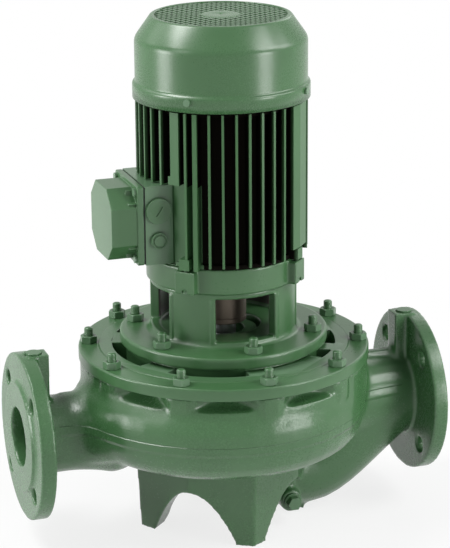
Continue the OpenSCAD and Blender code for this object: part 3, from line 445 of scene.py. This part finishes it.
def pale_floor():
    r = FLOOR_REACH
    mesh = bpy.data.meshes.new("floor")
    mesh.from_pydata([(-r, -r, 0), (r, -r, 0), (r, r, 0), (-r, r, 0)], [], [(0, 1, 2, 3)])
    thing = bpy.data.objects.new("floor", mesh)
    scene.collection.objects.link(thing)
    finish = Finish("floor_white")
    thing.data.materials.append(finish.set(Base_Color=(0.90, 0.90, 0.90, 1), Roughness=0.9))
    far = finish.from_axis().clip(0.22, 0.75)
    glow = finish.make("ShaderNodeEmission", Color=(1, 1, 1, 1), Strength=1.0)
    factor = seen_directly(finish.tree) * (GLOW_NEAR + far * GLOW_MORE)
    blend(finish.tree, factor, Wire(finish.tree, finish.shader.outputs[0]), glow, "Material Output")
    thing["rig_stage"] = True


def studio_world():
    scene.world = bpy.data.worlds.new("studio")
    scene.world.use_nodes = True
    tree = scene.world.node_tree
    sky = tree.nodes["Background"]
    plug(tree, (0.94, 0.96, 1.0, 1), sky.inputs["Color"])
    plug(tree, SKY_FILL, sky.inputs["Strength"])
    white = add_node(tree, "ShaderNodeBackground", Strength=1.0)
    blend(tree, seen_directly(tree), Wire(tree, sky.outputs[0]), white, "World Output")


pale_floor()
studio_world()
print("floor reaches", FLOOR_REACH, "m, sky fills at", SKY_FILL)

# %% [markdown]
# A CAD node's mesh is loose triangles, and it has to stay as it is. So each finished piece starts from a
# copy whose doubled points are merged. When its shape is done, the piece hides its node and rides on the
# node's body. Modifiers are worked into a plain mesh before that.

# %% Copies of CAD pieces
def merged_copy(node, name):
    mesh = nodes[node].data.copy()
    mesh.name = name
    work = bmesh.new()
    work.from_mesh(mesh)
    bmesh.ops.remove_doubles(work, verts=work.verts, dist=1e-6)
    work.to_mesh(mesh)
    work.free()
    thing = bpy.data.objects.new(name, mesh)
    scene.collection.objects.link(thing)
    return thing


def stands_for(thing, node):
    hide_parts(node)
    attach(thing, nodes[node].get("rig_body"))


def applied(thing):
    """The object's mesh with its modifiers worked in."""
    graph = bpy.context.evaluated_depsgraph_get()
    mesh = bpy.data.meshes.new_from_object(thing.evaluated_get(graph))
    old = thing.data
    thing.modifiers.clear()
    thing.data = mesh
    mesh.name = thing.name
    bpy.data.meshes.remove(old)
    return thing


def smooth(thing, on=True):
    for face in thing.data.polygons:
        face.use_smooth = on


# %% [markdown]
# Castings have no sharp edges: sand can't hold one. Bevels trip over the many small faces where a casting's
# forms meet, so the surface is treated as one skin of points. Each point moves towards the middle of its
# neighbours, which rounds edges. Machined faces and bores must stay flat, so each point has a weight, and a
# small one holds it nearly still. For the grown fillets only outward moves count, so that a hollow corner
# fills up and an outer edge isn't worn away.

# %% Moving the points of a skin
def points_of(mesh, what="co"):
    """The places of a mesh's points, or their normals, one in each row."""
    flat = np.empty(len(mesh.vertices) * 3)
    mesh.vertices.foreach_get(what, flat)
    return flat.reshape(-1, 3)


def set_points(mesh, co):
    mesh.vertices.foreach_set("co", co.ravel())
    mesh.update()


def neighbour_middles(mesh):
    """A function that gives, for places, the middle of each point's neighbours."""
    count = len(mesh.vertices)
    ends = np.empty(len(mesh.edges) * 2, np.int64)
    mesh.edges.foreach_get("vertices", ends)
    a, b = ends.reshape(-1, 2).T
    degree = np.bincount(np.concatenate([a, b]), minlength=count).astype(float)[:, None]

    def middles(co):
        sums = [np.bincount(a, co[b, k], count) + np.bincount(b, co[a, k], count) for k in range(3)]
        return np.stack(sums, 1) / degree
    return middles


def relax(thing, weight, rounds, factor=0.6):
    """Moves each point towards the middle of its neighbours, as far as its weight lets it."""
    co, middles = points_of(thing.data), neighbour_middles(thing.data)
    pull = (factor * weight(co))[:, None]
    for _ in range(rounds):
        co = co + pull * (middles(co) - co)
    set_points(thing.data, co)


def fill_corners(thing, weight, rounds, factor=0.5):
    """Grows a fillet in each hollow corner: points only move outwards, where their neighbours are."""
    co, middles = points_of(thing.data), neighbour_middles(thing.data)
    pull = factor * weight(co)[:, None]
    for step in range(rounds):
        if step % 6 == 0:
            set_points(thing.data, co)
            out = points_of(thing.data, "normal")
        move = middles(co) - co
        lift = (move * out).sum(1, keepdims=True)
        co = co + pull * np.where(lift > 0, move, move - lift * out)
    set_points(thing.data, co)


print("skin tools:", relax.__name__, "and", fill_corners.__name__)

# %% [markdown]
# On the real casing the discharge neck opens like a trumpet into the scroll's front. The CAD model has a
# plainer neck there. A loft would make a new piece with a seam, so instead the skin itself is pushed: every
# point of it that lies inside the trumpet moves straight out to the trumpet's surface, fades back at both
# ends, and is relaxed.

# %% The flare of the discharge neck
NECK_Z, NECK_R = 125, 43  # millimetres, as all sizes of the flare; it runs along -X from the pump's axis
FLARE_X, FLARE_SLOPE, FLARE_WIDEST, SQUARENESS = 175, 0.75, 112, 2.2
FLARE_FROM, FLARE_TO = 88, FLARE_X + 16
CORE = 0.3


def push_flare(thing):
    co = points_of(thing.data) * 1000
    normal = points_of(thing.data, "normal")
    x = -co[:, 0]
    width = np.minimum(NECK_R - 3 + FLARE_SLOPE * (FLARE_X - x + np.hypot(FLARE_X - x, 8)), FLARE_WIDEST)
    opening = np.clip((FLARE_X + 8 - x) / 44, 0, 1)
    middle, tall = NECK_Z - 1 + 17 * opening, NECK_R - 2 + 4 * opening
    y, z = -co[:, 1], co[:, 2] - middle
    share = ((np.abs(y) / width) ** SQUARENESS + (np.abs(z) / tall) ** SQUARENESS) ** (1 / SQUARENESS)
    outward = normal[:, 1] * -y + normal[:, 2] * z > 0.25 * np.hypot(y, z)
    inside = (x > FLARE_FROM) & (x < FLARE_TO) & (y > 0) & (share < 1) & (share > CORE) & outward
    grow = np.where(inside, 1 / np.maximum(share, CORE), 1.0)
    fade = np.clip((x - FLARE_FROM) / 14, 0, 1) * np.clip((FLARE_TO - x) / 6, 0, 1)
    grow = 1 + (grow - 1) * fade
    co[:, 1] = -y * grow
    co[:, 2] = middle + z * grow
    set_points(thing.data, co / 1000)
    relax(thing, near_flare, 14, 0.5)
    print("flare moved", int(inside.sum()), "points")


def near_flare(co):
    x, y, z = (co * 1000).T
    soft = np.clip((-x - 84) / 12, 0, 1) * np.clip((FLARE_X + 24 + x) / 12, 0, 1)
    return soft * (y < 4) * (np.abs(z - NECK_Z - 8) < 62) * (z < 183)


print("the flare runs from", FLARE_FROM, "to", FLARE_TO, "mm")

# %% [markdown]
# To mould a casting, a voxel remesh first turns the copy into small even faces, because smoothing needs
# points that stand equally close. The skin is then relaxed, and thinned where it has more faces than the
# export can carry.

# %% Moulding
MOST_FACES = 190000


def moulded(node, voxel, rounds, weight, material, reshape=None):
    thing = merged_copy(node, "moulded_" + node)
    remesh = thing.modifiers.new("even faces", "REMESH")
    remesh.mode, remesh.voxel_size = "VOXEL", voxel
    applied(thing)
    relax(thing, weight, rounds)
    if reshape:
        reshape(thing)
    faces = sum(len(p.vertices) - 2 for p in thing.data.polygons)
    if faces > MOST_FACES:
        thin = thing.modifiers.new("fewer faces", "DECIMATE")
        thin.ratio = MOST_FACES / faces
        applied(thing)
    smooth(thing)
    paint(thing, material)
    stands_for(thing, node)
    print(thing.name, len(thing.data.polygons), "faces from", faces)


print("a moulded piece keeps at most", MOST_FACES, "faces")

# %% [markdown]
# The volute casing is the pump's one big sand casting. Its flange faces, its top face and its soles are
# machined, so they hardly relax. Afterwards its neck gets the flare, and its outside gets fillets in every
# hollow corner, but not in the bores, on the machined faces or round the drain plug.

# %% Volute casing
FLANGE_BACK, FILLETS_END, CASING_TOP, BORE_ZONE, PLUG_ZONE = 0.2175, 0.2130, 0.195, 0.088, 0.020


def casing_weight(co):
    free = np.ones(len(co))
    free[np.abs(co[:, 0]) > FLANGE_BACK - 0.0005] = 0.25
    free[co[:, 2] > CASING_TOP - 0.0012] = 0.1
    free[co[:, 2] < 0.001] = 0.1
    return free


def corner_weight(co):
    free = np.clip((FILLETS_END - np.abs(co[:, 0])) / 0.004, 0, 1)
    below_top = np.clip((CASING_TOP - 0.0035 - co[:, 2]) / 0.004, 0, 1)
    free *= below_top * np.clip((co[:, 2] - 0.002) / 0.003, 0, 1)
    free *= np.clip((np.hypot(co[:, 0], co[:, 1]) - BORE_ZONE) / 0.006, 0, 1)
    low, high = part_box("drain_plug")
    middle = [(low[k] + high[k]) / 2 for k in range(3)]
    free *= np.clip((np.linalg.norm(co - middle, axis=1) - PLUG_ZONE) / 0.006, 0, 1)
    return free


def flare_and_fillets(thing):
    push_flare(thing)
    fill_corners(thing, corner_weight, 30)


moulded("volute_casing", 0.0019, 5, casing_weight, casing_paint, flare_and_fillets)

# %% [markdown]
# Machined and die-cast pieces keep their crisp CAD faces, and only their edges are broken. The triangles of
# each flat face are joined first, so that the bevel follows the real edges and catches a thin line of
# light, as in the photograph. Weighted normals then keep the flat faces flat to the light. The cover is
# turned all over.

# %% Crisp pieces
JOIN_ANGLE, EDGE_ANGLE = math.radians(0.8), math.radians(32)


def crisp(node, width):
    thing = merged_copy(node, "bevelled_" + node)
    work = bmesh.new()
    work.from_mesh(thing.data)
    bmesh.ops.dissolve_limit(work, angle_limit=JOIN_ANGLE, verts=work.verts, edges=work.edges)
    work.to_mesh(thing.data)
    work.free()
    smooth(thing)
    edge = thing.modifiers.new("broken edges", "BEVEL")
    edge.width, edge.segments = width, 2
    edge.limit_method, edge.angle_limit = "ANGLE", EDGE_ANGLE
    edge.use_clamp_overlap = False
    flat = thing.modifiers.new("flat faces stay flat", "WEIGHTED_NORMAL")
    flat.mode, flat.weight = "FACE_AREA", 100
    applied(thing)
    paint(thing, finishes[slot_of[node]])
    stands_for(thing, node)
    print(thing.name, len(thing.data.polygons), "faces")


crisp("casing_cover", 0.0009)

# %% [markdown]
# The bracket and the motor's lower shield are smaller castings. They are moulded like the casing, with a
# finer voxel because their windows and lugs are thin, and all their points may relax alike. The box lid,
# the plugs and the caps are die-cast or turned, so they are crisp.

# %% Bracket, shield and small pieces
def evenly(co):
    return np.full(len(co), 0.8)


moulded("motor_bracket", 0.0012, 2, evenly, bracket_paint)
moulded("drive_end_shield", 0.0011, 3, evenly, motor_paint)
for node, width in (("terminal_box_lid", 0.0009), ("gauge_plugs", 0.0006), ("drain_plug", 0.0006),
                    ("large_entry_cap", 0.0005), ("small_entry_cap", 0.0005)):
    crisp(node, width)

# %% [markdown]
# Nuts and stud ends are real shapes that repeat. Each could be cut from a cylinder, but a skin of rings is
# simpler and has only a few dozen faces in each row: a list of rings from bottom to top, joined by faces. A
# nut is a hexagon whose corners are cut by a cone, so its outer rings wave up and down. A stud is a rod
# whose thread is a groove that turns.

# %% Fastener shapes
def skin(name, rings, loop=False):
    """A mesh that joins rings of points. A loop joins the last to the first; else each end gets a face."""
    n = len(rings[0])
    total = len(rings) * n
    last = len(rings) if loop else len(rings) - 1
    faces = [(i * n + k, i * n + (k + 1) % n, (i + 1) * n + (k + 1) % n, (i + 1) * n + k)
             for i in range(last) for k in range(n)]
    faces = [tuple(v % total for v in face) for face in faces]
    if not loop:
        faces += [tuple(range(n - 1, -1, -1)), tuple(range(total - n, total))]
    mesh = bpy.data.meshes.new(name)
    mesh.from_pydata([p for ring in rings for p in ring], [], faces)
    work = bmesh.new()
    work.from_mesh(mesh)
    bmesh.ops.recalc_face_normals(work, faces=work.faces)
    work.to_mesh(mesh)
    work.free()
    thing = bpy.data.objects.new(name, mesh)
    scene.collection.objects.link(thing)
    return thing


def ring_of(radius, z, sides):
    """One ring of points; radius and z may be numbers or functions of the angle."""
    points = []
    for k in range(sides):
        a = 2 * math.pi * k / sides
        r = radius(a) if callable(radius) else radius
        points.append((r * math.cos(a), r * math.sin(a), z(a) if callable(z) else z))
    return points


def nut_shape(across, height, bore, sides=60):
    corner = lambda a: across / 2 / math.cos((a + math.pi / 6) % (math.pi / 3) - math.pi / 6)
    flat = across / 2 * 0.96
    cut = lambda a: (corner(a) - flat) * 0.62
    return skin("nut_shape", [ring_of(*row, sides) for row in (
        (bore, 0), (flat, 0), (corner, cut), (corner, lambda a: height - cut(a)),
        (flat, height), (bore + 0.0008, height), (bore, height - 0.0008))], loop=True)


THREAD_PITCH, THREAD_DEPTH, THREAD_END = 0.0015, 0.00052, 0.0016


def stud_shape(radius, length, threaded, sides=30):
    rows = [(radius * 0.96, 0), (radius, 0.0005), (radius, length - threaded)]
    steps = int((threaded - THREAD_END) / THREAD_PITCH * 5)
    rings = [ring_of(*row, sides) for row in rows]
    for i in range(1, steps + 1):
        z = length - threaded + (threaded - THREAD_END) * i / steps
        turn = 2 * math.pi * z / THREAD_PITCH
        rings.append(ring_of(lambda a: radius - THREAD_DEPTH * (0.5 + 0.5 * math.cos(turn - a)), z, sides))
    dome = [(radius * 0.80, length - 0.0007), (radius * 0.45, length - 0.0002), (radius * 0.12, length)]
    return skin("stud_shape", rings + [ring_of(*row, sides) for row in dome])


print("a thread groove turns every", THREAD_PITCH, "m")

# %% [markdown]
# A Geometry Nodes tree sets one such shape on many points. Its named inputs are the shape, how far each
# copy may be turned by chance, the seed of that chance, and the finish. It ends by making the copies real
# and giving them their finish, because the export drops plain instances. The same tree serves nuts and
# studs, so a change is made once.

# %% Copies on points
def new_tree(name, sockets):
    """A tree, a function that gives its inputs by name, and its output socket."""
    tree = bpy.data.node_groups.new(name, "GeometryNodeTree")
    for label, kind in sockets:
        tree.interface.new_socket(label, in_out="INPUT", socket_type="NodeSocket" + kind)
    tree.interface.new_socket("Geometry", in_out="OUTPUT", socket_type="NodeSocketGeometry")
    source, sink = tree.nodes.new("NodeGroupInput"), tree.nodes.new("NodeGroupOutput")
    return tree, lambda label: Wire(tree, source.outputs[label]), sink.inputs[0]


def finish_tree(tree, given, result, geometry):
    """Ends a tree as plain mesh with its material."""
    real = add_node(tree, "GeometryNodeRealizeInstances", Geometry=geometry)
    plug(tree, add_node(tree, "GeometryNodeSetMaterial", Geometry=real, Material=given("Finish")), result)
    return tree


def copies_tree():
    tree, given, result = new_tree("copies_on_points", [
        ("Geometry", "Geometry"), ("Shape", "Object"), ("Turn", "Float"), ("Seed", "Int"),
        ("Finish", "Material")])
    shape = add_node(tree, "GeometryNodeObjectInfo", "Geometry", Object=given("Shape"))
    chance = add_node(tree, "FunctionNodeRandomValue", 1, sockets={3: given("Turn"), 8: given("Seed")})
    turn = add_node(tree, "ShaderNodeCombineXYZ", Z=chance)
    put = add_node(tree, "GeometryNodeInstanceOnPoints", Points=given("Geometry"), Instance=shape,
                   Rotation=turn)
    return finish_tree(tree, given, result, put)


def grown(name, points, tree, **values):
    """Runs a tree on loose points, keeps the plain mesh it gives and drops the shape it copied."""
    mesh = bpy.data.meshes.new(name)
    mesh.from_pydata(points, [], [])
    thing = bpy.data.objects.new(name, mesh)
    scene.collection.objects.link(thing)
    step = thing.modifiers.new("grow", "NODES")
    step.node_group = tree
    for item in tree.interface.items_tree:
        if item.in_out == "INPUT" and item.name in values:
            step[item.identifier] = values[item.name]
    applied(thing)
    bpy.data.objects.remove(values["Shape"])
    return thing


copies = copies_tree()
print("tree inputs:", [item.name for item in copies.interface.items_tree if item.in_out == "INPUT"])

# %% [markdown]
# Ten nuts hold the cover and six hold the bracket, each on its own stud. Where they stand is read from the
# CAD model: the box of each of its separate solids gives a point and a height, so each copy sits exactly
# where its solid was. No mechanic leaves all nuts at the same angle, so each copy is turned by chance.

# %% Nuts and studs
NUT_ACROSS, NUT_BORE, STUD_R, THREADED = 0.017, 0.00505, 0.005, 0.022


def solid_places(node):
    """The box of each separate solid of a CAD node, as pairs of corners."""
    work = bmesh.new()
    work.from_mesh(nodes[node].data)
    bmesh.ops.remove_doubles(work, verts=work.verts, dist=1e-6)
    seen, boxes = set(), []
    for vert in work.verts:
        if vert in seen:
            continue
        group, stack = [], [vert]
        seen.add(vert)
        while stack:
            v = stack.pop()
            group.append(v.co.copy())
            for edge in v.link_edges:
                other = edge.other_vert(v)
                if other not in seen:
                    seen.add(other)
                    stack.append(other)
        boxes.append([[end(place[k] for place in group) for k in range(3)] for end in (min, max)])
    work.free()
    return boxes


for node, seed in (("cover_nuts", 3), ("bracket_nuts", 5), ("cover_studs", 7), ("bracket_studs", 9)):
    boxes = solid_places(node)
    points = [((low[0] + high[0]) / 2, (low[1] + high[1]) / 2, low[2]) for low, high in boxes]
    height = boxes[0][1][2] - boxes[0][0][2]
    nut = "nuts" in node
    shape = nut_shape(NUT_ACROSS, height, NUT_BORE) if nut else stud_shape(STUD_R, height, THREADED)
    thing = grown("grown_" + node, points, copies, Shape=shape, Turn=math.tau, Seed=seed, Finish=bolt_paint)
    smooth(thing, not nut)
    stands_for(thing, node)
    print(thing.name, len(points), "copies", len(thing.data.polygons), "faces")

# %% [markdown]
# The fan cover is pressed sheet: a skirt, a wall, a shoulder with soft bends, and a rim. A flat profile,
# spun round the axis, makes it. The profile is a path of corners for the outside and one for the inside, a
# sheet's thickness apart, and each corner is bent by a small curve, as a press tool would.

# %% Fan cover shell
low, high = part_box("fan_cover")
SKIRT_R, COVER_LOW, COVER_TOP, SHEET = high[0], low[2], high[2], 0.0016
WALL_R = SKIRT_R - 0.0029
TOP_R = WALL_R - 0.0174
GRILLE_R = TOP_R - 0.0045


def bent(corners, radius, steps=5):
    """A path through corners whose bends are rounded."""
    path = [corners[0]]
    for (x0, z0), (x1, z1), (x2, z2) in zip(corners, corners[1:], corners[2:]):
        corner, back, on = Vector((x1, z1)), Vector((x0 - x1, z0 - z1)), Vector((x2 - x1, z2 - z1))
        reach = min(radius, back.length * 0.45, on.length * 0.45)
        start, end = corner + back.normalized() * reach, corner + on.normalized() * reach
        for i in range(steps + 1):
            t = i / steps
            path.append(tuple(start * (1 - t) ** 2 + corner * 2 * t * (1 - t) + end * t * t))
    return path + [corners[-1]]


outside = bent([(SKIRT_R, COVER_LOW), (SKIRT_R, COVER_LOW + 0.0155), (WALL_R, COVER_LOW + 0.0180),
                (WALL_R, COVER_TOP - 0.0245), (TOP_R, COVER_TOP), (GRILLE_R, COVER_TOP)], 0.0045)
inside = bent([(GRILLE_R, COVER_TOP - SHEET), (TOP_R - 0.0008, COVER_TOP - SHEET),
               (WALL_R - SHEET, COVER_TOP - 0.0252), (WALL_R - SHEET, COVER_LOW + 0.0172),
               (SKIRT_R - SHEET, COVER_LOW + 0.0150), (SKIRT_R - SHEET, COVER_LOW)], 0.0040)
shell = skin("fan_cover_shell", [ring_of(r, z, 144) for r, z in outside + inside], loop=True)
print("fan cover:", len(outside), "points outside,", len(inside), "inside")

# %% [markdown]
# The grille on top is a lattice of thin bars. A second Geometry Nodes tree lays a grid of points, drops
# those outside one radius and inside another, and sets a small square frame on each that is left, so that
# neighbouring frames make up the bars. The inputs are the frame, the pitch of the grid, the two radii and
# the count. The whole is turned by the angle seen in the photograph.

# %% Grille tree
GRILLE_TURN = math.radians(26)


def grille_tree():
    tree, given, result = new_tree("grille_of_frames", [
        ("Geometry", "Geometry"), ("Shape", "Object"), ("Pitch", "Float"), ("Outer", "Float"),
        ("Inner", "Float"), ("Count", "Int"), ("Finish", "Material")])
    size, count = (given("Count") - 1) * given("Pitch"), given("Count")
    grid = add_node(tree, "GeometryNodeMeshGrid", Size_X=size, Size_Y=size, Vertices_X=count,
                    Vertices_Y=count)
    place = add_node(tree, "GeometryNodeInputPosition")
    reach = add_node(tree, "ShaderNodeVectorMath", "Value", {"operation": "LENGTH"}, {0: place})
    outer, inner = given("Outer"), given("Inner")
    over = add_node(tree, "FunctionNodeCompare", 0, {"operation": "GREATER_THAN"}, {0: reach, 1: outer})
    under = add_node(tree, "FunctionNodeCompare", 0, {"operation": "LESS_THAN"}, {0: reach, 1: inner})
    either = add_node(tree, "FunctionNodeBooleanMath", 0, {"operation": "OR"}, {0: over, 1: under})
    kept = add_node(tree, "GeometryNodeDeleteGeometry", Geometry=grid, Selection=either)
    square = add_node(tree, "GeometryNodeObjectInfo", "Geometry", Object=given("Shape"))
    put = add_node(tree, "GeometryNodeInstanceOnPoints", Points=kept, Instance=square)
    turned_grid = add_node(tree, "GeometryNodeTransform", Geometry=put, Rotation=(0, 0, GRILLE_TURN))
    return finish_tree(tree, given, result, turned_grid)


lattice = grille_tree()
print("tree inputs:", [item.name for item in lattice.interface.items_tree if item.in_out == "INPUT"])

# %% [markdown]
# The lattice lies just under the rim, which hides its ragged edge, and a round disc closes its middle.
# Shell, lattice and disc are three skins of the one CAD node, so all three stand for it.

# %% Grille and hub
PITCH, BAR, BAR_LOW, PER_SIDE = 0.0074, 0.0022, -0.0011, 21
HUB_INNER, HUB_TOP = 0.0200, COVER_TOP - 0.0004


def square_at(r, z):
    return [(-r, -r, z), (r, -r, z), (r, r, z), (-r, r, z)]


half, hole = PITCH / 2, (PITCH - BAR) / 2
cell = skin("grille_cell", [square_at(half, 0), square_at(hole, 0), square_at(hole, BAR_LOW),
                            square_at(half, BAR_LOW)], loop=True)
grille = grown("fan_grille", [(0, 0, 0)], lattice, Shape=cell, Pitch=PITCH, Outer=GRILLE_R + 0.0015,
               Inner=HUB_INNER, Count=PER_SIDE, Finish=sheet_paint)
grille.data.transform(Matrix.Translation((0, 0, COVER_TOP - 0.0005)))
hub = skin("grille_hub", [ring_of(r, HUB_TOP - drop, 72) for r, drop in (
    (0.0010, 0.0012), (0.0016, 0.0004), (0.0026, 0.0), (0.0190, 0.0), (0.0215, 0.0004), (0.0225, 0.0008),
    (0.0225, 0.0016), (0.0010, 0.0016))], loop=True)
for thing in (shell, grille, hub):
    paint(thing, sheet_paint)
    smooth(thing, thing is not grille)
    stands_for(thing, "fan_cover")
    print(thing.name, len(thing.data.polygons), "faces")

# %% [markdown]
# In the bracket's window the shaft wears a plain collar, which hides the joint of the motor's shaft, so it
# turns with the shaft. It is one more skin of rings, with a turned groove near its lower end. Its steel is
# dull and brown from handling, which the recipe for turned metal gives with a darker colour.

# %% Shaft collar
COLLAR_LOW, COLLAR_HIGH, COLLAR_R, COLLAR_BORE = 0.2345, 0.2750, 0.0255, 0.0141
GROOVE_R, EDGE = COLLAR_R - 0.0007, 0.001
profile = [(COLLAR_BORE, COLLAR_LOW), (COLLAR_R - EDGE, COLLAR_LOW), (COLLAR_R, COLLAR_LOW + EDGE),
           (COLLAR_R, COLLAR_LOW + 0.006), (GROOVE_R, COLLAR_LOW + 0.0064), (GROOVE_R, COLLAR_LOW + 0.0076),
           (COLLAR_R, COLLAR_LOW + 0.008), (COLLAR_R, COLLAR_HIGH - EDGE), (COLLAR_R - EDGE, COLLAR_HIGH),
           (COLLAR_BORE, COLLAR_HIGH)]
collar = skin("shaft_collar", [ring_of(r, z, 96) for r, z in profile], loop=True)
paint(collar, turned("worn_collar", (0.20, 0.165, 0.135, 1), 0.42))
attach(collar, nodes["pump_shaft"].get("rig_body"))

# %% [markdown]
# Last, the object's own size is printed beside the CAD model's.

# %% Sizes and finish
visual_box = [list(corner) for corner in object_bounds()]
print("CAD", cad_box, "visual", visual_box)
